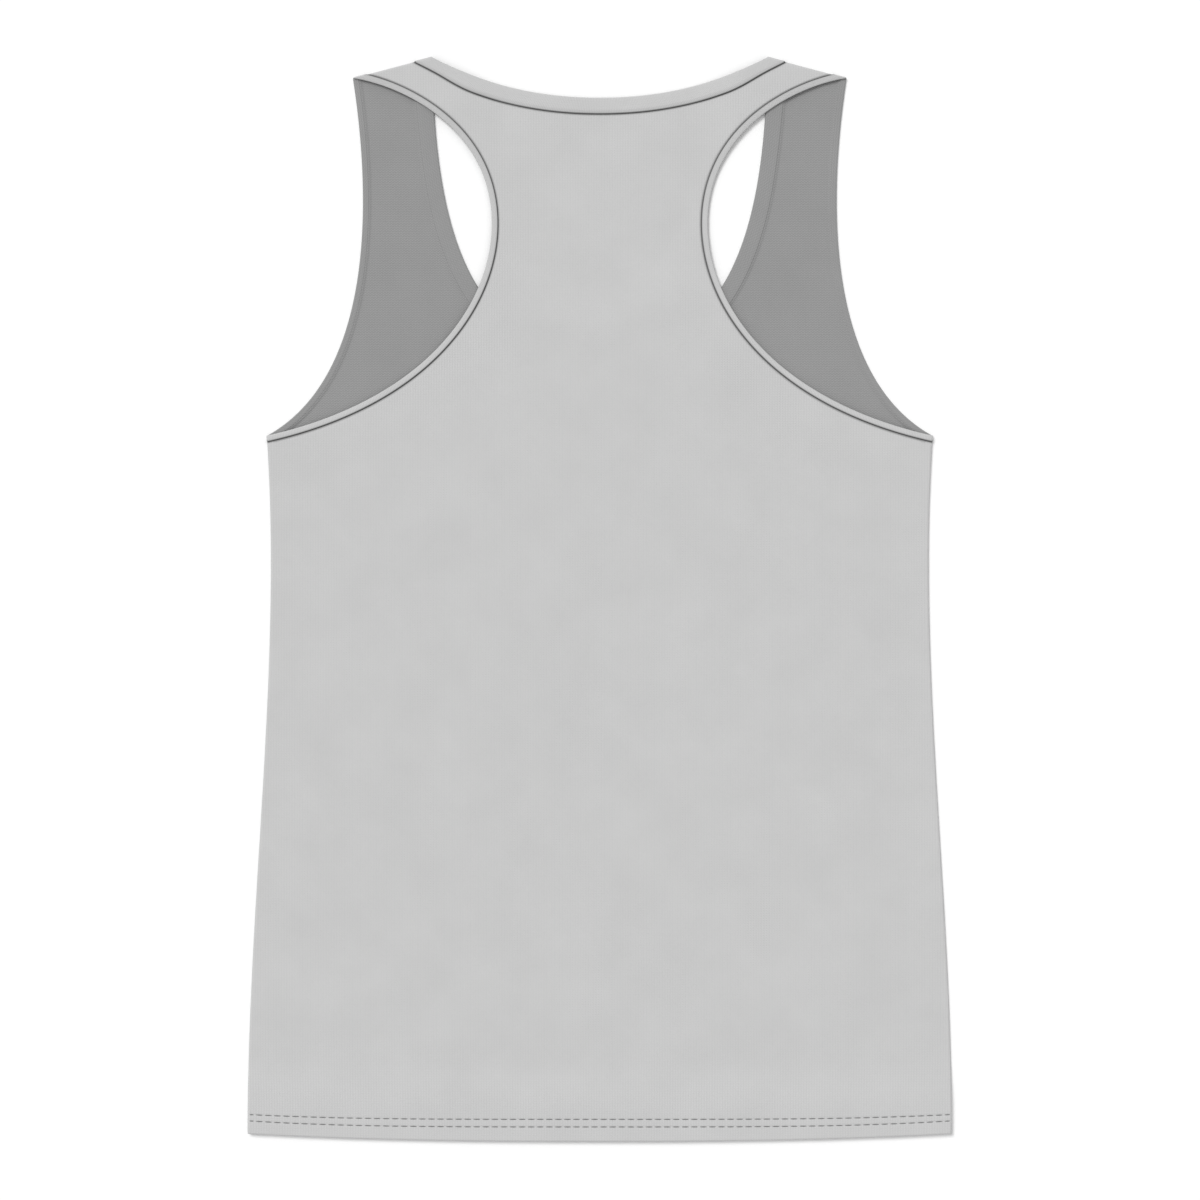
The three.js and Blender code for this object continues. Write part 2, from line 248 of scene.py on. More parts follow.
@dataclass(frozen=True)
class Cut:
    """The cut of the garment, measured flat: the sizes that its solids have."""

    body_length: float = 704.6
    neck_width: float = 218.4
    shoulder_width: float = 321.2
    shoulder_drop: float = 13.6
    back_neck_drop: float = 26.1
    front_neck_drop: float = 192.0
    racerback_width: float = 140.8
    racerback_drop: float = 101.7
    chest_width: float = 433.0
    underarm_drop: float = 246.0
    hem_width: float = 457.8
    hem_rise: float = 5.0
    hem_power: float = 2.4
    hem_depth: float = 16.0
    stitch_rows: tuple[StitchRow, ...] = (StitchRow(above=9.7, rise=4.0), StitchRow(above=14.6, rise=3.2))
    stitch_power: float = 3.7
    neckband_width: float = 10.6
    neckband_at_shoulder: float = 12.0
    neckband_eases: float = 0.7
    binding_width: float = 4.0
    samples: int = 240
    side_heading_from: float = 0.99
    lines: dict[Line, np.ndarray] = field(init=False, repr=False)
    shoulder: Seam = field(init=False, repr=False)
    side: Seam = field(init=False, repr=False)

    def __post_init__(self) -> None:
        """Draws the cut lines of the right half, and its two straight seams."""
        top = self.body_length / 2
        neck = (self.neck_width / 2, top)
        tip = (self.shoulder_width / 2, top - self.shoulder_drop)
        underarm = (self.chest_width / 2, top - self.underarm_drop)
        racerback = (self.racerback_width / 2, top - self.racerback_drop)
        hem = (self.hem_width / 2, self.hem_rise - top)
        back_neck = (0.0, top - self.back_neck_drop)
        front_neck = (0.0, top - self.front_neck_drop)
        bends = {
            Line.BACK_NECK: [Bend(back_neck, (40.4, 0.0), neck, (-34.9, -17.8))],
            Line.FRONT_NECK: [Bend(front_neck, (97.9, 0.0), neck, (-2.0, -80.9))],
            Line.BACK_ARMHOLE: [
                Bend(underarm, (-102.4, 22.8), racerback, (-3.8, -58.0)),
                Bend(racerback, (3.8, 58.0), tip, (-29.9, -4.4)),
            ],
            Line.FRONT_ARMHOLE: [Bend(underarm, (-79.2, 43.6), tip, (-7.6, -48.1))],
            Line.SIDE: [Bend(hem, (0.2, 152.0), underarm, (-10.2, -151.6))],
        }
        even = np.linspace(0.0, 1.0, self.samples + 1)
        lines = {}
        for name, stretches in bends.items():
            lines[name] = along(np.vstack([bend.points(self.samples) for bend in stretches]), even)
        object.__setattr__(self, "lines", lines)
        shoulder = np.array(neck) - np.array(tip)
        side = np.array(underarm) - along(lines[Line.SIDE], [self.side_heading_from])[0]
        object.__setattr__(self, "shoulder", Seam(np.array(tip), shoulder / np.linalg.norm(shoulder)))
        object.__setattr__(self, "side", Seam(np.array(underarm), side / np.linalg.norm(side)))

    def hem_line(self, x: np.ndarray) -> np.ndarray:
        """The hem's height at each distance from the centre line."""
        return self.hem_rise * (np.abs(x) / (self.hem_width / 2)) ** self.hem_power - self.body_length / 2

    def stitch_line(self, row: StitchRow, x: np.ndarray) -> np.ndarray:
        """The height of a row of hem stitches at each distance from the centre line."""
        rise = row.rise * (np.abs(x) / (self.hem_width / 2)) ** self.stitch_power
        return row.above + rise - self.body_length / 2

    def trim_seam(self, edge: Line, under: float = 0.0) -> np.ndarray:
        """Draws the line on which a trim is sewn, up to the shoulder.

        The neckband is eased along the shoulder seam, so that it folds over evenly.

        Args:
            edge: the neckline or armhole that the trim finishes.
            under: how far under the trim the line lies.

        Returns:
            The line, from the centre line or from the side seam.
        """
        if edge in ARMHOLES:
            line = self.shoulder.ends(moved_sideways(self.lines[edge], self.binding_width - under))
            return self.side.ends(line[::-1])[::-1]
        full = self.shoulder.ends(moved_sideways(self.lines[edge], -self.neckband_width))
        goal = self.lines[edge][-1] - self.neckband_at_shoulder * self.shoulder.heading
        line = self.shoulder.ends(moved_sideways(self.lines[edge], under - self.neckband_width))
        easing = smooth(np.linspace(0.0, 1.0, len(line)), self.neckband_eases, 1.0)
        line = line + easing[:, None] * (goal - full[-1])
        line[0, 0] = 0.0
        return line


@dataclass(frozen=True)
class Ridge:
    """A faint, soft ridge where the laid cloth isn't quite flat."""

    x: float
    y: float
    angle: float
    length: float
    width: float
    height: float

    def height_at(self, points: np.ndarray) -> np.ndarray:
        """Works out how much the ridge lifts the cloth.

        Args:
            points: the points on the table.

        Returns:
            The lift at each point.
        """
        turn = math.radians(self.angle)
        axis = np.array([math.cos(turn), math.sin(turn)])
        offset = points - (self.x, self.y)
        run = offset @ axis / self.length
        rise = cross(axis, offset) / self.width
        return self.height * np.exp(-(run**2) - rise**2)


# None of these shows as a fold in the photo: they keep the large plain back from looking like card.
# Each is its place, angle, length, width and height.
RIDGES = (
    Ridge(-128, 44, 38, 95, 17, 0.75),
    Ridge(118, 30, 144, 110, 19, 0.7),
    Ridge(-58, -62, 66, 130, 24, 0.6),
    Ridge(84, -96, 101, 150, 27, 0.65),
    Ridge(-150, -178, 84, 110, 22, 0.6),
    Ridge(10, -232, 96, 85, 30, 0.5),
    Ridge(168, -236, 78, 90, 18, 0.55),
    Ridge(22, 196, 8, 48, 20, 0.45),
    Ridge(-26, 262, 174, 40, 14, 0.35),
)


@dataclass(frozen=True)
class Lie:
    """How the back lies over the front: on its cloth, over its trims and hem, and down to the table."""

    cut: Cut
    wall: float = 1.0
    gap: float = 0.3
    neckband: float = 1.8
    binding: float = 1.6
    over_edge: float = 15.0
    settle: float = 32.0
    hem_layers: int = 3
    over_hem: float = 4.0
    hem_settle: float = 30.0

    def under_back(self, points: np.ndarray) -> np.ndarray:
        """Works out the height of the back's underside.

        Args:
            points: the points on the table, on either half.

        Returns:
            The height at each point.
        """
        mirrored = on_right_half(points)
        neck, in_opening = away_from(self.cut.lines[Line.FRONT_NECK], mirrored)
        arm, _ = away_from(self.cut.lines[Line.FRONT_ARMHOLE], mirrored)
        on_cloth = self.wall + self.gap
        past = self.over_edge, self.over_edge + self.settle

        def eased(high: float, low: float, distance: np.ndarray, start: float, end: float) -> np.ndarray:
            """Falls smoothly from one height to another over a distance."""
            return high + (low - high) * smooth(distance, start, end)

        opening = eased(self.neckband + self.gap, 0.0, neck, *past)
        band = eased(self.neckband + self.gap, on_cloth, neck - self.cut.neckband_width, *past)
        binding = eased(self.binding + self.gap, on_cloth, arm - self.cut.binding_width, *past)
        past_hem = points[:, 1] - self.cut.hem_line(points[:, 0]) - self.cut.hem_depth
        hem_top = self.hem_layers * on_cloth
        hem = eased(hem_top, on_cloth, past_hem, self.over_hem, self.over_hem + self.hem_settle)
        return np.where(in_opening, opening, np.maximum(np.maximum(band, binding), hem))

    def back_top(self, points: np.ndarray) -> np.ndarray:
        """The height of the back's right side at each point, without its ridges."""
        return self.under_back(points) + self.wall

    def softness(self, points: np.ndarray) -> np.ndarray:
        """How much the ridges lift the back at each point, which is nothing at the side seams."""
        side, _ = away_from(self.cut.lines[Line.SIDE], on_right_half(points))
        return smooth(side, 2.0, 34.0) * sum(ridge.height_at(points) for ridge in RIDGES)

    def middle(self, points: np.ndarray) -> np.ndarray:
        """The height where front and back meet at a side or shoulder seam."""
        return (self.under_back(points) + self.wall) / 2


# Nodes and finishes


def add_node(
    tree: NodeTree, kind: str, inputs: dict[str | int, Any] | None = None, **settings: Any
) -> Node:
    """Adds a node with its settings, values and links.

    Args:
        tree: the material's node tree.
        kind: the node's type.
        inputs: a value, or an output socket to link, for each input by name or number.
        settings: the node's own properties.

    Returns:
        The new node.
    """
    node = tree.nodes.new(kind)
    for name, value in settings.items():
        setattr(node, name, value)
    for key, value in (inputs or {}).items():
        if isinstance(value, NodeSocket):
            tree.links.new(value, node.inputs[key])
        else:
            node.inputs[key].default_value = value
    return node


@dataclass(frozen=True)
class Finish:
    """A finish: its name, its colour, and the shader that a kind of finish gives it."""

    name: str
    colour: str

    def surface(self, tree: NodeTree, place: NodeSocket) -> Node:
        """Adds the finish's shader, which each kind of finish does in its own way."""
        raise NotImplementedError

    def material(self) -> Material:
        """Makes the material.

        Returns:
            The material.
        """
        made = bpy.data.materials.new(self.name)
        made.use_nodes = True
        made.diffuse_color = linear(self.colour)
        made.node_tree.nodes.clear()
        place = add_node(made.node_tree, "ShaderNodeTexCoord").outputs["Object"]
        shader = self.surface(made.node_tree, place)
        add_node(made.node_tree, "ShaderNodeOutputMaterial", {"Surface": shader.outputs[0]})
        return made


# The arithmetic of each face of the knit, a row for each step: its name, the operation, what it works on
KNIT_STEPS: dict[KnitFace, tuple[tuple[str | float, ...], ...]] = {
    KnitFace.RIGHT: (
        ("in column", "FRACT", "wales"),
        ("from middle", "SUBTRACT", "in column", 0.5),
        ("to side", "ABSOLUTE", "from middle"),
        ("from leg", "SUBTRACT", "to side", 0.25),
        ("off leg", "ABSOLUTE", "from leg"),
        ("off leg share", "MULTIPLY", "off leg", 4.0),
        ("fall", "POWER", "off leg share", 2.0),
        ("leg", "SUBTRACT", 1.0, "fall"),
        ("slant", "MULTIPLY_ADD", "to side", 1.5, "courses"),
        ("turn", "MULTIPLY", "slant", math.tau),
        ("wave", "COSINE", "turn"),
        ("loop", "MULTIPLY_ADD", "wave", 0.28, 0.72),
        ("height", "MULTIPLY", "leg", "loop"),
    ),
    KnitFace.WRONG: (
        ("across", "MULTIPLY", "wales", math.tau),
        ("across wave", "COSINE", "across"),
        ("row", "MULTIPLY_ADD", "across wave", 0.24, "courses"),
        ("turn", "MULTIPLY", "row", math.tau),
        ("wave", "COSINE", "turn"),
        ("bump", "MULTIPLY_ADD", "wave", 0.5, 0.5),
        ("head turn", "MULTIPLY", "across", 2.0),
        ("head wave", "COSINE", "head turn"),
        ("head", "MULTIPLY_ADD", "head wave", 0.3, 0.7),
        ("height", "MULTIPLY", "bump", "head"),
    ),
}


@dataclass(frozen=True)
class JerseyFinish(Finish):
    """Cotton single jersey, knitted fine and matt: soft, dry to the eye, with a faint bloom of loose fibre.

    Its stitches are really about 0.8 by 0.6 mm. They are drawn at more than twice that, as coarse as the
    picture needs to hold them at all, and faint.
    """

    # The colour of the valleys between the loops, darker as painted shade
    painted_valley_shade: str
    face: KnitFace
    # How strongly, and towards which dark grey, the painted shade in the seam ditches darkens the cloth
    painted_seam_shade_strength: float
    painted_seam_shade_colour: str = "#454545"
    wale_mm: float = 2.1
    course_mm: float = 1.6
    relief_mm: float = 0.16
    mottle_mm: float = 38.0
    darkest: float = 0.975
    lightest: float = 1.02
    fibre_mm: float = 0.55
    fibre_share: float = 0.5

    def stitches(self, tree: NodeTree) -> NodeSocket:
        """Draws one face of the knit as heights, on the map of the cut cloth.

        Args:
            tree: the material's node tree.

        Returns:
            The socket that holds the height, from 0 in the valleys to 1 on the loops.
        """
        cloth = add_node(tree, "ShaderNodeUVMap", uv_map="cut")
        place = add_node(tree, "ShaderNodeSeparateXYZ", {0: cloth.outputs[0]}).outputs
        made: dict[str | float, NodeSocket] = {}
        for number, name, size in ((0, "wales", self.wale_mm), (1, "courses", self.course_mm)):
            inputs = {0: place[number], 1: size * MM}
            made[name] = add_node(tree, "ShaderNodeMath", inputs, operation="DIVIDE").outputs[0]
        for name, operation, *values in KNIT_STEPS[self.face]:
            inputs = {number: made.get(value, value) for number, value in enumerate(values)}
            made[name] = add_node(tree, "ShaderNodeMath", inputs, operation=operation).outputs[0]
        return made["height"]

    def surface(self, tree: NodeTree, place: NodeSocket) -> Node:
        """Adds the cotton: its stitches, with painted shade in the valleys between the loops, faint patches,
        loose fibre, and painted shade in its seam ditches, which also stands for the seam's thread.

        Args:
            tree: the material's node tree.
            place: the socket of the place on the object.

        Returns:
            The shader.
        """
        height = self.stitches(tree)
        inputs = {"Vector": place, "Scale": 1 / (self.mottle_mm * MM), "Detail": 3.0, "Roughness": 0.6}
        mottle = add_node(tree, "ShaderNodeTexNoise", inputs)
        inputs = {"Vector": place, "Scale": 1 / (self.fibre_mm * MM), "Detail": 2.0, "Roughness": 0.5}
        fibre = add_node(tree, "ShaderNodeTexNoise", inputs)
        inputs = {"From Min": 0.3, "From Max": 0.7, "To Min": self.darkest, "To Max": self.lightest}
        patches = add_node(tree, "ShaderNodeMapRange", {"Value": mottle.outputs[0], **inputs})
        # The valleys between the loops are darkened towards the valley colour as painted shade
        inputs = {"Factor": height, "A": linear(self.painted_valley_shade), "B": linear(self.colour)}
        loops = add_node(tree, "ShaderNodeMix", inputs, data_type="RGBA")
        inputs = {"Factor": 1.0, "A": loops.outputs["Result"], "B": patches.outputs[0]}
        patched = add_node(tree, "ShaderNodeMix", inputs, data_type="RGBA", blend_type="MULTIPLY")
        # The seam attribute darkens the cloth towards a dark grey as painted shade in the seam ditches,
        # standing also for the seam's thread
        seam = add_node(tree, "ShaderNodeAttribute", attribute_name="seam").outputs["Fac"]
        painted_seam_shade_share = add_node(tree, "ShaderNodeMath", {0: seam, 1: self.painted_seam_shade_strength}, operation="MULTIPLY")
        inputs = {"Factor": painted_seam_shade_share.outputs[0], "A": patched.outputs["Result"], "B": linear(self.painted_seam_shade_colour)}
        with_painted_seam_shade = add_node(tree, "ShaderNodeMix", inputs, data_type="RGBA")
        inputs = {0: fibre.outputs[0], 1: self.fibre_share, 2: height}
        fuzzy = add_node(tree, "ShaderNodeMath", inputs, operation="MULTIPLY_ADD")
        inputs = {"Height": fuzzy.outputs[0], "Distance": self.relief_mm * MM, "Strength": 1.0}
        relief = add_node(tree, "ShaderNodeBump", inputs)
        inputs = {
            "Base Color": with_painted_seam_shade.outputs["Result"],
            "Normal": relief.outputs[0],
            "Roughness": 0.93,
            "IOR": 1.5,
            "Specular IOR Level": 0.25,
            "Sheen Weight": 0.12,
            "Sheen Roughness": 0.5,
        }
        return add_node(tree, "ShaderNodeBsdfPrincipled", inputs)


@dataclass(frozen=True)
class ThreadFinish(Finish):
    """Spun polyester sewing thread: darker than the cloth, twisted, with a slight gloss."""

    twist_mm: float = 0.7
    twist_depth_mm: float = 0.05

    def surface(self, tree: NodeTree, place: NodeSocket) -> Node:
        """Adds the thread, with its plies as slanting ridges.

        Args:
            tree: the material's node tree.
            place: the socket of the place on the object.

        Returns:
            The shader.
        """
        inputs = {"Vector": place, "Scale": 1 / (self.twist_mm * MM * math.tau), "Distortion": 0.0}
        twist = add_node(tree, "ShaderNodeTexWave", inputs, bands_direction="DIAGONAL")
        inputs = {"Height": twist.outputs["Fac"], "Distance": self.twist_depth_mm * MM, "Strength": 0.7}
        ply = add_node(tree, "ShaderNodeBump", inputs)
        inputs = {"Base Color": linear(self.colour), "Normal": ply.outputs[0], "Roughness": 0.6, "IOR": 1.55}
        return add_node(tree, "ShaderNodeBsdfPrincipled", inputs)


@dataclass(frozen=True)
class PaperFinish(Finish):
    """White seamless background paper: dead matt, with a barely visible tooth."""

    tooth_mm: float = 1.5
    tooth_depth_mm: float = 0.01

    def surface(self, tree: NodeTree, place: NodeSocket) -> Node:
        """Adds the paper.

        Args:
            tree: the material's node tree.
            place: the socket of the place on the object.

        Returns:
            The shader.
        """
        tooth = add_node(tree, "ShaderNodeTexNoise", {"Vector": place, "Scale": 1 / (self.tooth_mm * MM)})
        inputs = {"Height": tooth.outputs[0], "Distance": self.tooth_depth_mm * MM, "Strength": 0.4}
        relief = add_node(tree, "ShaderNodeBump", inputs).outputs[0]
        inputs = {"Base Color": linear(self.colour), "Normal": relief, "Roughness": 1.0}
        return add_node(tree, "ShaderNodeBsdfPrincipled", {**inputs, "Specular IOR Level": 0.1})


# Meshes

# The layers of a grid's points that hold their place on the cut cloth
CLOTH_LAYERS = ("cloth_across", "cloth_down")


def new_piece(name: str, shape: BMesh, materials: Sequence[Material]) -> Object:
    """Makes an object of a finished shape, with smooth faces.

    Args:
        name: the object's name.
        shape: its mesh, which is freed.
        materials: its material slots.

    Returns:
        The object, linked to the scene.
    """
    mesh = bpy.data.meshes.new(name)
    for face in shape.faces:
        face.smooth = True
    shape.to_mesh(mesh)
    shape.free()
    for material in materials:
        mesh.materials.append(material)
    piece = bpy.data.objects.new(name, mesh)
    bpy.context.scene.collection.objects.link(piece)
    return piece


def laid_grid(places: np.ndarray, cloth: np.ndarray, seam: np.ndarray) -> BMesh:
    """Lays a grid on rows of places, and writes on it where each point is on the cut cloth.

    Args:
        places: each row's points in millimetres, as rows by columns by three.
        cloth: each point's place on the cut cloth in millimetres, as rows by columns by two.
        seam: each point's share of the painted shade in the seam ditches, as rows by columns.

    Returns:
        The grid, with the painted seam shade and the cloth's place as layers of its points.
    """
    rows, columns = seam.shape
    shape = bmesh.new()
    bmesh.ops.create_grid(shape, x_segments=columns - 1, y_segments=rows - 1, size=0.5)
    shade = shape.verts.layers.float.new("seam")
    across, down = (shape.verts.layers.float.new(name) for name in CLOTH_LAYERS)
    shape.verts.ensure_lookup_table()
    flat_places = places.reshape(-1, 3) * MM
    flat_cloth = cloth.reshape(-1, 2) * MM
    for vert, place, on_cloth, painted_shade_here in zip(shape.verts, flat_places, flat_cloth, seam.reshape(-1)):
        vert.co = place
        vert[shade] = painted_shade_here
        vert[across], vert[down] = on_cloth
    return shape


def add_cut_map(shape: BMesh) -> None:
    """Turns the cloth places held in the points into the UV map that the knit follows.

    Args:
        shape: the mesh of a laid grid.
    """
    layers = shape.verts.layers.float
    across, down = (layers[name] for name in CLOTH_LAYERS)
    cut_map = shape.loops.layers.uv.new("cut")
    for face in shape.faces:
        for loop in face.loops:
            loop[cut_map].uv = (loop.vert[across], loop.vert[down])
    for name in CLOTH_LAYERS:
        layers.remove(layers[name])


def flat_area(piece: Object) -> float:
    """Measures a piece's cloth as it was cut.

    Args:
        piece: a piece with the cut map on four-sided faces.

    Returns:
        Its area in square metres.
    """
    places = np.zeros(2 * len(piece.data.loops))
    piece.data.uv_layers["cut"].data.foreach_get("uv", places)
    corners = places.reshape(-1, 4, 2)
    return float(np.abs(cross(corners[:, 2] - corners[:, 0], corners[:, 3] - corners[:, 1])).sum() / 2)


def mirror_over_centre(shape: BMesh) -> None:
    """Adds the left half of a right half, joined on the centre line and facing the same way.

    Args:
        shape: the right half's mesh.
    """
    half = shape.verts[:] + shape.edges[:] + shape.faces[:]
    bmesh.ops.mirror(shape, geom=half, axis="X", merge_dist=JOIN_WITHIN)
    bmesh.ops.reverse_faces(shape, faces=[f for f in shape.faces if f.calc_center_median().x < 0.0])


@dataclass(frozen=True)
class Stretch:
    """A run of rows of a panel, up to where it ends on the armhole and on the centre line or neckline.

    Its last rows lie close together where the cloth rolls over or sinks into a seam.
    """

    rows: int
    armhole: float
    height: float | None = None
    neckline: float | None = None
    ends_in_seam: bool = True


@dataclass
class Piece:
    """A piece of the garment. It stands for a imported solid, unless it is only sewing."""

    name: str
    node: str | None
    cut: Cut
    lie: Lie
    slot: ClassVar[str] = "jersey"

    def build(self) -> BMesh:
        """Builds the piece's mesh, which each kind of piece does in its own way."""
        raise NotImplementedError

    def dress(self, *materials: Material) -> Object:
        """Makes the piece and puts it in place of its solid.

        Args:
            materials: its materials, that of the right side first.

        Returns:
            The piece.
        """
        piece = new_piece(self.name, self.build(), materials)
        if self.node:
            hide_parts(self.node)
        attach(piece, "root")
        return piece


@dataclass
class Panel(Piece):
    """One panel: a thin wall of cloth with its hem turned up inside and its seams rolled or sunk."""

    layer: Layer
    neck: Line
    armhole: Line
    first_height: float
    stretches: tuple[Stretch, ...]
    cloth: float = 0.6
    tucked: float = 0.4
    columns: int = 46
    close: tuple[float, ...] = (0.0, 0.3, 0.7, 1.2, 1.8, 2.6, 3.6)
    clear_of_close: float = 1.3
    turn_up_rows: tuple[float, ...] = (12.0, 8.0, 4.0, 1.5)
    fold_steps: int = 12
    low_rows: tuple[float, ...] = (1.0, 2.3, 3.6, 4.9)
    fine_rows: tuple[float, float] = (6.3, 15.6)
    fine_step: float = 0.5
    body_from: float = 17.0
    body_step: float = 4.0
    roll: float = 1.3
    on_seam: float = 0.05
    ditch_width: float = 1.5
    ditch_depth: float = 0.7
    # How far the painted shade of the seam ditches reaches out from the trims' seams
    painted_shade_width: float = 0.75
    stitch_dip: float = 0.22
    stitch_dip_width: float = 0.6
    hem_tucked_in: float = 1.3

    def column_places(self, lengths: np.ndarray) -> np.ndarray:
        """Spaces the columns of each row, close together at both ends where the cloth rolls or sinks.

        Args:
            lengths: each row's length.

        Returns:
            Shares of each row's length, as rows by columns.
        """
        middle = np.linspace(0.0, 1.0, self.columns)[1:-1]
        start = np.array(self.close)[None, :] / lengths[:, None]
        end = 1.0 - start[:, ::-1]
        inner = start[:, -1:] + middle[None, :] * (end[:, :1] - start[:, -1:])
        return np.hstack([start, inner, end])

    def row_table(self) -> dict[str, np.ndarray]:
        """Works out the rows, from the hem's raw edge, round its fold and up to the shoulder.

        Returns:
            For each row its inner and outer ends, the power of its curve, the angle round the hem's fold,
            and how far the cloth runs on past the fold.
        """
        neck_rail, arm_rail = (self.cut.trim_seam(edge, self.tucked) for edge in (self.neck, self.armhole))
        radius = self.fold_radius()
        fold_line = radius - self.cut.body_length / 2
        side = self.cut.lines[Line.SIDE].copy()
        side[:, 1] += radius * (1.0 - smooth(side[:, 1], side[0, 1], side[-1, 1]))
        side = np.vstack([side[side[:, 1] < arm_rail[0, 1] - self.close[2]], arm_rail[0]])
        centre_length = self.first_height - fold_line

        rises = (self.cut.hem_depth, *self.turn_up_rows)
        turned_up = [(above, math.pi, math.pi * radius + 2 * above) for above in rises]
        folded = [(0.0, angle, angle * radius) for angle in np.linspace(math.pi, 0.0, self.fold_steps + 1)]
        stitched = np.arange(*self.fine_rows, self.fine_step)
        body = np.arange(self.body_from, centre_length - self.clear_of_close * self.close[-1], self.body_step)
        underarm = centre_length - np.array(self.close[:0:-1])
        rows: list[tuple[Any, ...]] = []
        plain = [(above, 0.0, 0.0) for above in (*self.low_rows, *stitched, *body, *underarm)]
        for above, angle, past_fold in (*turned_up, *folded, *plain):
            share = above / centre_length
            power = self.cut.hem_power + (1.0 - self.cut.hem_power) * share
            tucked_in = self.hem_tucked_in * (1.0 - math.cos(angle)) / 2
            outer = along(side, [share])[0] - (tucked_in, 0.0)
            rows.append(((0.0, fold_line + above), outer, power, angle, past_fold))
        start = Stretch(rows=0, armhole=0.0, height=self.first_height, neckline=0.0)
        for number, stretch in enumerate(self.stretches):
            shares = np.linspace(0.0, 1.0, stretch.rows + 1)[int(number > 0) :]
            if stretch.ends_in_seam:
                run = length_of(arm_rail) * (stretch.armhole - start.armhole)
                close = np.array(self.close[::-1]) / run
                clear = shares < 1.0 - self.clear_of_close * close[0]
                shares = np.concatenate([shares[clear], 1.0 - close])
            outer = along(arm_rail, start.armhole + shares * (stretch.armhole - start.armhole))
            if stretch.neckline is None:
                heights = start.height + shares * (stretch.height - start.height)
                inner = np.stack([np.zeros_like(heights), heights], axis=1)
            else:
                first = start.neckline or 0.0
                inner = along(neck_rail, first + shares * (stretch.neckline - first))
            rows.extend((i, o, 1.0, 0.0, 0.0) for i, o in zip(inner, outer))
            start = stretch
        names = ("inner", "outer", "power", "angle", "past_fold")
        return {name: np.array(column) for name, column in zip(names, zip(*rows))}

    def fold_radius(self) -> float:
        """The radius of the hem's fold, out to the right side of the cloth."""
        return self.lie.wall + self.lie.gap / 2

    def from_trims(self, points: np.ndarray) -> np.ndarray:
        """How far points are from the nearest seam of a trim."""
        seams = (self.cut.trim_seam(edge) for edge in (self.neck, self.armhole))
        return np.minimum(*(away_from(seam, points)[0] for seam in seams))

    def heights(self, points: np.ndarray, angle: np.ndarray) -> np.ndarray:
        """Works out the height of the cloth's right side.

        Args:
            points: the points on the table.
            angle: each point's angle round the hem's fold.

        Returns:
            A height for each point, rolled over at the side and shoulder and sunk at the trims.
        """
        fold = self.fold_radius() * (1.0 - np.cos(angle))
        from_rows = [points[:, 1] - self.cut.stitch_line(row, points[:, 0]) for row in self.cut.stitch_rows]
        dips = sum(np.exp(-((away / self.stitch_dip_width) ** 2)) for away in from_rows)
        sunk = 1.0 - smooth(self.from_trims(points), 0.0, self.ditch_width)
        inward = fold + self.stitch_dip * dips * (angle == 0.0) + self.ditch_depth * sunk
        if self.layer is Layer.FRONT:
            height = inward
        else:
            height = np.maximum(self.lie.back_top(points) - inward, self.cloth)
        side, _ = away_from(self.cut.lines[Line.SIDE], points)
        shoulder = cross(self.cut.shoulder.heading, points - self.cut.shoulder.at)
        beside = np.clip((np.minimum(side, shoulder) - self.on_seam) / self.roll, 0.0, 1.0)
        middle = self.lie.middle(points)
        return middle + (height - middle) * np.sqrt(1.0 - (1.0 - beside) ** 2)

    def build(self) -> BMesh:
        """Builds the cloth's right side as one grid, mirrored over the centre line.

        Returns:
            The mesh, with its faces towards the right side.
        """
        rows = self.row_table()
        run = rows["outer"] - rows["inner"]
        shares = self.column_places(np.linalg.norm(run, axis=1))
        x = rows["inner"][:, :1] + shares * run[:, :1]
        y = rows["inner"][:, 1:] + shares ** rows["power"][:, None] * run[:, 1:]
        angle = np.broadcast_to(rows["angle"][:, None], x.shape)
        points = np.stack([x, y], axis=2).reshape(-1, 2)
        z = self.heights(points, angle.reshape(-1)).reshape(x.shape)
        reach = self.fold_radius() * np.sin(angle)
        places = np.stack([x, y - reach, z], axis=2)
        cloth = np.stack([x, y - rows["past_fold"][:, None]], axis=2)
        # Painted shade: the cloth darkens towards the trims' seams, where the seam ditch lies in shadow
        shade = np.exp(-((self.from_trims(points) / self.painted_shade_width) ** 2))
        shape = laid_grid(places, cloth, shade.reshape(x.shape))
        if self.layer is Layer.FRONT:
            bmesh.ops.reverse_faces(shape, faces=shape.faces[:])
        across = shape.verts.layers.float[CLOTH_LAYERS[0]]
        mirror_over_centre(shape)
        for vert in shape.verts:
            if vert.co.x < 0.0:
                vert[across] = -abs(vert[across])
        add_cut_map(shape)
        if self.layer is Layer.BACK:
            self.soften(shape)
        return shape

    def soften(self, shape: BMesh) -> None:
        """Lifts the laid cloth along its faint ridges, which aren't mirrored.

        Args:
            shape: the mesh of both halves.
        """
        points = np.array([vert.co.xy for vert in shape.verts]) / MM
        for vert, lift in zip(shape.verts, self.lie.softness(points)):
            vert.co.z += lift * MM

    def dress(self, *materials: Material) -> Object:
        """Makes the panel, puts it in place of its solid and gives it the jersey's thickness.

        Args:
            materials: those of the right side and the wrong side.

        Returns:
            The panel.
        """
        piece = super().dress(*materials)
        wall = piece.modifiers.new("jersey wall", "SOLIDIFY")
        wall.thickness = self.cloth * MM
        wall.offset = -1.0
        wall.material_offset = 1
        return piece


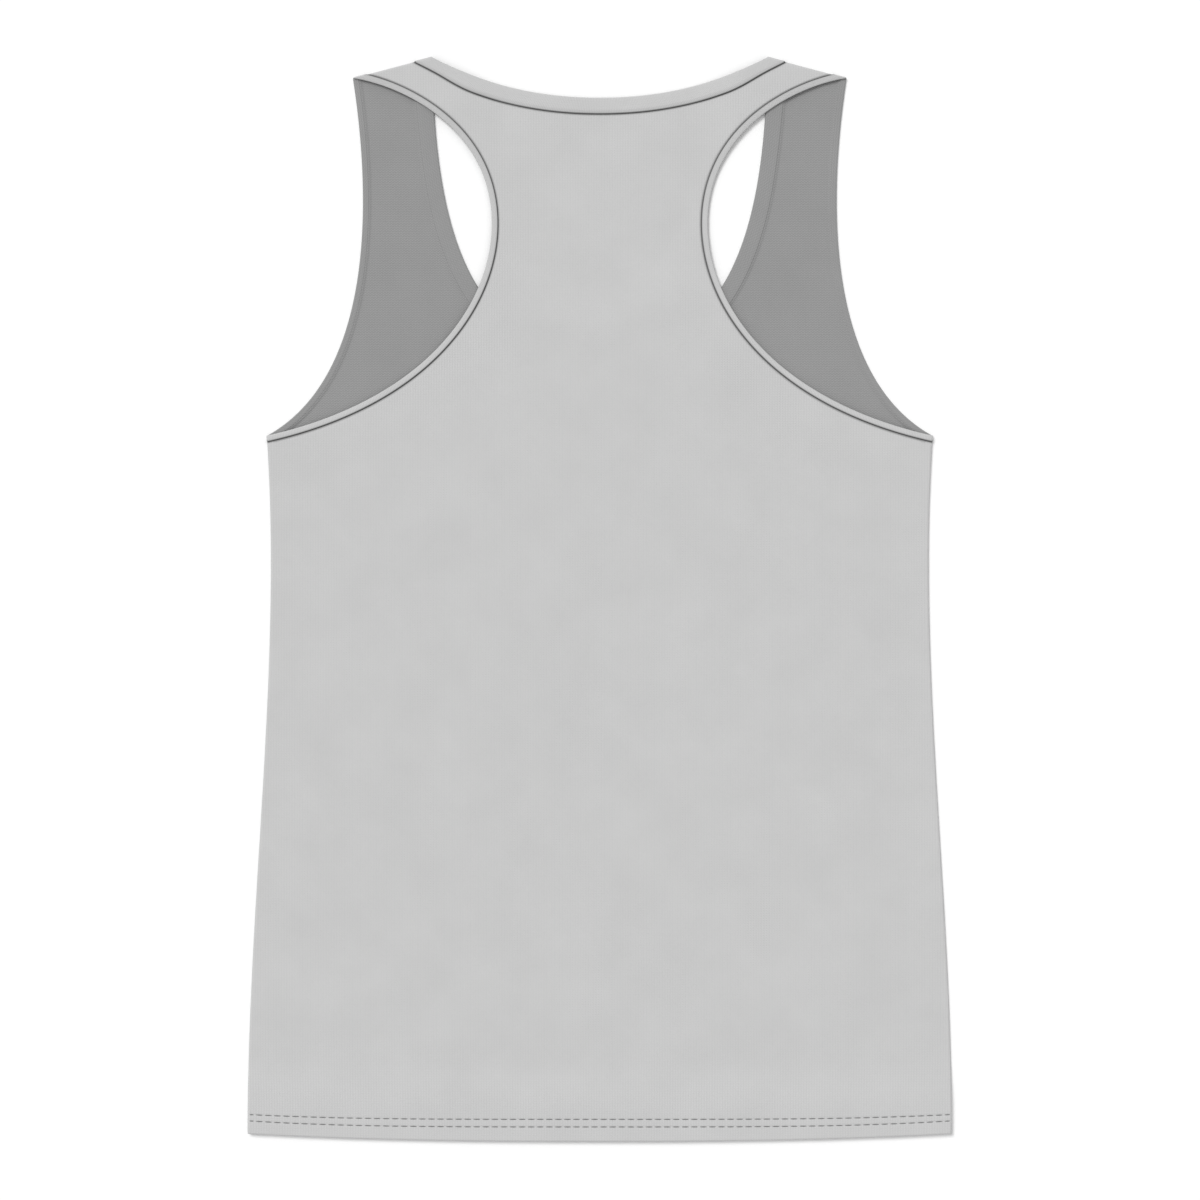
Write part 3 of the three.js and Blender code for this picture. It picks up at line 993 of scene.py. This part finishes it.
@dataclass
class FoldedBand(Piece):
    """A strip of jersey folded double, sewn on as a loop that folds over where the layers meet."""

    slot: ClassVar[str] = "band_jersey"
    folds_twice: ClassVar[bool] = False
    thickness: float
    spacing: float = 3.0
    crown: float = 0.12
    flatten: float = 0.6
    set_back: float = 0.8
    fold_steps: int = 9
    arc_points: int = 5
    top_points: int = 3
    # How far the painted shade reaches from the band's seam edge, as a share of its thickness
    painted_shade_reach: float = 0.62

    def section(self, width: float) -> tuple[np.ndarray, np.ndarray]:
        """Draws the band's section: two rounded edges and a slightly crowned top.

        Args:
            width: the band's width there.

        Returns:
            For each point, how far it is from the folded edge, and how high it is from the wrong side at 0
            to the right side at 1.
        """
        radius = self.thickness / 2
        turn = np.linspace(0.0, math.pi / 2, self.arc_points)
        flat = np.linspace(radius, width - radius, self.top_points + 2)[1:-1]
        fold_up = radius - radius * np.cos(turn)
        seam_down = width - radius + radius * np.sin(turn)
        reach = np.concatenate([fold_up, flat, seam_down])
        rise = np.concatenate([0.5 + 0.5 * np.sin(turn), np.ones_like(flat), 0.5 + 0.5 * np.cos(turn)])
        return np.concatenate([reach, reach[::-1]]), np.concatenate([rise, 1.0 - rise[::-1]])

    def ring(self, edge: np.ndarray, seam: np.ndarray, upper: bool) -> np.ndarray:
        """Places one section on a layer.

        Args:
            edge: the point on the folded edge.
            seam: the point on the seam line.
            upper: whether it is on the back, over the front.

        Returns:
            The section's points.
        """
        run = seam - edge
        width = float(np.linalg.norm(run))
        reach, rise = self.section(width)
        flat = edge + reach[:, None] * run / width
        puffed = self.crown * np.sin(math.pi * np.clip(reach / width, 0.0, 1.0)) * (rise > 0.5)
        if upper:
            height = self.lie.under_back(flat) + rise * self.thickness + puffed
        else:
            height = (1.0 - rise) * self.thickness
        return np.column_stack([flat, height])

    def rings(self, line: Line) -> list[np.ndarray]:
        """Places the sections along one layer, set back from the seams that the band folds over.

        Args:
            line: the line of the folded edge.

        Returns:
            The sections, from the start of the line to its end.
        """
        length = length_of(self.cut.lines[line])
        short = self.set_back / length
        first = short if self.folds_twice else 0.0
        shares = np.linspace(first, 1.0 - short, round(length / self.spacing) + 1)
        edges, seams = along(self.cut.lines[line], shares), along(self.cut.trim_seam(line), shares)
        return [self.ring(edge, seam, line in BACK_EDGES) for edge, seam in zip(edges, seams)]

    def fold(self, above: np.ndarray, below: np.ndarray, seam: Seam) -> list[np.ndarray]:
        """Turns the band over a seam.

        Args:
            above: the last section before the seam, on the back.
            below: the first section after it, on the front.
            seam: the seam that it folds over.

        Returns:
            The sections between them.
        """
        half = len(above) // 2
        inside = (above[half:, 2].min() - self.thickness) / 2
        middle = (above[half:, 2].min() + self.thickness) / 2
        turned = []
        for angle in np.linspace(0.0, math.pi, self.fold_steps + 2)[1:-1]:
            share = angle / math.pi
            run_above, run_below = (ring[half - 1, :2] - ring[0, :2] for ring in (above, below))
            run = run_above + smooth(share, 0.5, 1.0) * (run_below - run_above)
            width = float(np.linalg.norm(run))
            reach, rise = self.section(width)
            out = inside + rise * self.thickness
            start = above[0, :2] + share * (below[0, :2] - above[0, :2])
            place = np.zeros((len(reach), 3))
            place[:, :2] = start + reach[:, None] * run / width
            place += self.flatten * (out * math.sin(angle))[:, None] * seam.outward()
            place[:, 2] = middle + out * math.cos(angle)
            turned.append(place)
        return turned

    def tube(self, rings: list[np.ndarray]) -> BMesh:
        """Lays a grid round the sections, and gives each face its side of the cloth.

        Args:
            rings: the sections, in order along the band.

        Returns:
            The mesh, closed round each section.
        """
        places = np.array([np.vstack([ring, ring[:1]]) for ring in rings])
        middles = places[:, :-1].mean(axis=1)
        run = np.concatenate([[0.0], np.cumsum(np.linalg.norm(np.diff(middles, axis=0), axis=1))])
        steps = np.linalg.norm(np.diff(places, axis=1), axis=2)
        round_it = np.concatenate([np.zeros((len(rings), 1)), np.cumsum(steps, axis=1)], axis=1)
        cloth = np.stack([np.broadcast_to(run[:, None], round_it.shape), round_it], axis=2)
        count = places.shape[1] - 1
        seam_at = places[:, count // 2 - 1 : count // 2 + 1].mean(axis=1)
        from_seam = np.linalg.norm(places - seam_at[:, None, :], axis=2)
        # Painted shade along the band's seam edge, where it sinks into the seam ditch
        shape = laid_grid(places, cloth, np.exp(-((from_seam / (self.painted_shade_reach * self.thickness)) ** 4)))
        for number, face in enumerate(shape.faces):
            face.material_index = int(number % count >= count // 2)
        add_cut_map(shape)
        bmesh.ops.remove_doubles(shape, verts=shape.verts[:], dist=JOIN_WITHIN)
        return shape


class Neckband(FoldedBand):
    """The neckband: round the back neckline, over both shoulders and round the front scoop."""

    def build(self) -> BMesh:
        """Lays the right half of the loop and mirrors it.

        Returns:
            The loop's mesh.
        """
        back, front = self.rings(Line.BACK_NECK), self.rings(Line.FRONT_NECK)[::-1]
        shape = self.tube([*back, *self.fold(back[-1], front[0], self.cut.shoulder), *front])
        mirror_over_centre(shape)
        bmesh.ops.recalc_face_normals(shape, faces=shape.faces[:])
        return shape


@dataclass
class ArmholeBinding(FoldedBand):
    """An armhole's binding: up the back, over the shoulder tip, down the front and round the underarm."""

    folds_twice: ClassVar[bool] = True
    side: int = 1

    def build(self) -> BMesh:
        """Lays the loop on the right, and mirrors it for the left.

        Returns:
            The loop's mesh.
        """
        up, down = self.rings(Line.BACK_ARMHOLE), self.rings(Line.FRONT_ARMHOLE)[::-1]
        over_tip = self.fold(up[-1], down[0], self.cut.shoulder)
        under_arm = self.fold(up[0], down[-1], self.cut.side)[::-1]
        shape = self.tube([*up, *over_tip, *down, *under_arm, up[0]])
        bmesh.ops.scale(shape, vec=Vector((self.side, 1.0, 1.0)), verts=shape.verts[:])
        bmesh.ops.recalc_face_normals(shape, faces=shape.faces[:])
        return shape


@dataclass
class HemStitches(Piece):
    """Two rows of twin-needle stitches along the hem, each a short thread that dives into the cloth.

    Sewing thread is really 0.3 mm thick. It is drawn at twice that, as coarse as it needs to show.
    """

    layer: Layer
    pitch: float = 5.885
    phase: float = 0.43
    length: float = 4.5
    shortest: float = 1.0
    thread: float = 0.64
    sunk: float = 0.08
    side_margin: float = 1.5

    def build(self) -> BMesh:
        """Sets one small thread after another along each row, and cuts the last short at the side seams.

        Returns:
            All the stitches as one mesh.
        """
        shape = bmesh.new()
        reach = self.cut.hem_width / 2 - self.side_margin
        most = math.ceil(reach / self.pitch)
        for row in self.cut.stitch_rows:
            for number in range(-most - 1, most + 1):
                middle = (number + self.phase) * self.pitch
                ends = np.clip([middle - self.length / 2, middle + self.length / 2], -reach, reach)
                if ends[1] - ends[0] > self.shortest:
                    self.add_stitch(shape, ends, row)
        return shape

    def add_stitch(self, shape: BMesh, ends: np.ndarray, row: StitchRow) -> None:
        """Adds one stitch, lying along its row.

        Args:
            shape: the mesh of the stitches.
            ends: how far its two ends are from the centre line.
            row: the row that it is in.
        """
        length = float(ends[1] - ends[0])
        line = self.cut.stitch_line(row, ends)
        middle = np.array([[ends.mean(), line.mean()]])
        if self.layer is Layer.BACK:
            height = float((self.lie.back_top(middle) + self.lie.softness(middle))[0]) - self.sunk
        else:
            height = self.sunk
        place, size = Vector((*middle[0], height)) * MM, Vector((length, self.thread, self.thread)) * MM
        slope = Matrix.Rotation(math.atan2(line[1] - line[0], length), 3, "Z")
        lying = Matrix.LocRotScale(place, slope, size) @ Matrix.Rotation(math.pi / 2, 4, "Y")
        bmesh.ops.create_uvsphere(shape, u_segments=8, v_segments=6, radius=0.5, matrix=lying)


# The studio


@dataclass(frozen=True)
class Studio:
    """White paper under soft light, with the camera straight above, framed as the drawing is."""

    frame_width: float = 0.78
    centre: tuple[float, float] = (0.00016, -0.00049)
    lens: float = 100.0
    cloth_height: float = 0.0023
    floor_size: float = 60.0
    floor_drop: float = 0.0003
    sun_strength: float = 1.62
    sun_size: float = 24.0
    sun_from: tuple[float, float, float] = (-0.42, 0.5, 1.0)
    sky_strength: float = 0.66

    def add_floor(self) -> None:
        """Lays the paper."""
        shape = bmesh.new()
        bmesh.ops.create_grid(shape, x_segments=4, y_segments=4, size=self.floor_size / 2)
        bmesh.ops.translate(shape, vec=(0, 0, -self.floor_drop), verts=shape.verts[:])
        paper = PaperFinish("white seamless paper", "#FAFAFA").material()
        new_piece("paper_floor", shape, (paper,))

    def add_lights(self) -> None:
        """Hangs one wide soft light and fills in from all round."""
        lamp = bpy.data.lights.new("soft key", "SUN")
        lamp.energy = self.sun_strength
        lamp.angle = math.radians(self.sun_size)
        key = bpy.data.objects.new("soft key", lamp)
        key.rotation_euler = Vector(self.sun_from).to_track_quat("Z", "Y").to_euler()
        bpy.context.scene.collection.objects.link(key)
        world = bpy.data.worlds.new("white room")
        world.use_nodes = True
        sky = world.node_tree.nodes["Background"]
        sky.inputs["Color"].default_value = (1.0, 1.0, 1.0, 1.0)
        sky.inputs["Strength"].default_value = self.sky_strength
        bpy.context.scene.world = world

    def add_camera(self) -> None:
        """Hangs the camera above the garment, with the shoulders at the top of the picture."""
        data = bpy.data.cameras.new("overhead camera")
        data.lens = self.lens
        data.sensor_width = 36.0
        data.sensor_fit = "HORIZONTAL"
        data.clip_start = 0.05
        camera = bpy.data.objects.new("overhead camera", data)
        distance = self.frame_width * self.lens / data.sensor_width
        camera.location = (*self.centre, self.cloth_height + distance)
        bpy.context.scene.collection.objects.link(camera)
        bpy.context.scene.camera = camera
        bpy.context.scene.view_settings.view_transform = "Standard"


# The garment


@dataclass
class TankTop:
    """The whole garment, sewn from its panels, trims and stitches."""

    cut: Cut = field(default_factory=Cut)

    def sew(self) -> None:
        lie = Lie(self.cut)
        # The right side carries painted shade in its seam ditches at 0.9; the wrong side carries none
        right = JerseyFinish("grey jersey, right side", "#CBCBCB", "#BCBCBC", KnitFace.RIGHT, 0.9).material()
        # The wrong side's grey is far darker than the right side's as painted shade, for the inside of the
        # garment that lies in shade; its valley colour is painted shade as well
        wrong = JerseyFinish("grey jersey, wrong side in painted shade", "#9B9B9B", "#8C8C8C", KnitFace.WRONG, 0.0).material()
        thread = ThreadFinish("grey polyester thread", "#727272").material()
        neck_top = self.cut.body_length / 2 - self.cut.back_neck_drop - self.cut.neckband_width
        scoop = self.cut.body_length / 2 - self.cut.front_neck_drop - self.cut.neckband_width
        common = {"cut": self.cut, "lie": lie}
        front = Panel(
            "front_cloth",
            "front_panel",
            layer=Layer.FRONT,
            neck=Line.FRONT_NECK,
            armhole=Line.FRONT_ARMHOLE,
            first_height=92.0,
            stretches=(
                Stretch(rows=14, armhole=0.2, height=scoop),
                Stretch(rows=22, armhole=0.36, neckline=0.36, ends_in_seam=False),
                Stretch(rows=44, armhole=1.0, neckline=1.0),
            ),
            **common,
        ).dress(right, wrong)
        back = Panel(
            "back_cloth",
            "back_panel",
            layer=Layer.BACK,
            neck=Line.BACK_NECK,
            armhole=Line.BACK_ARMHOLE,
            first_height=98.0,
            stretches=(
                Stretch(rows=52, armhole=0.62, height=275.0, ends_in_seam=False),
                Stretch(rows=12, armhole=0.74, height=neck_top),
                Stretch(rows=30, armhole=1.0, neckline=1.0),
            ),
            **common,
        ).dress(right, wrong)
        trims = [Neckband("neckband_cloth", "neckband", thickness=1.8, **common).dress(right, wrong)]
        for name, side in (("right", 1), ("left", -1)):
            node = f"armhole_binding_{name}"
            binding = ArmholeBinding(f"{node}_cloth", node, thickness=1.6, side=side, **common)
            trims.append(binding.dress(right, wrong))
        back_hem = HemStitches("back_hem_stitches", None, layer=Layer.BACK, **common).dress(thread)
        front_hem = HemStitches("front_hem_stitches", None, layer=Layer.FRONT, **common).dress(thread)
        flat_area(front)
        flat_area(back)
        for piece in (front, back, *trims, back_hem, front_hem):
            log.info("%s: %d faces", piece.name, len(piece.data.polygons))


def main() -> None:
    """Loads the frame, sews the garment, and sets up the studio."""
    logging.basicConfig(level=logging.INFO, format="%(message)s")
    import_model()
    TankTop().sew()
    studio = Studio()
    studio.add_floor()
    studio.add_lights()
    studio.add_camera()


if __name__ == "__main__":
    main()
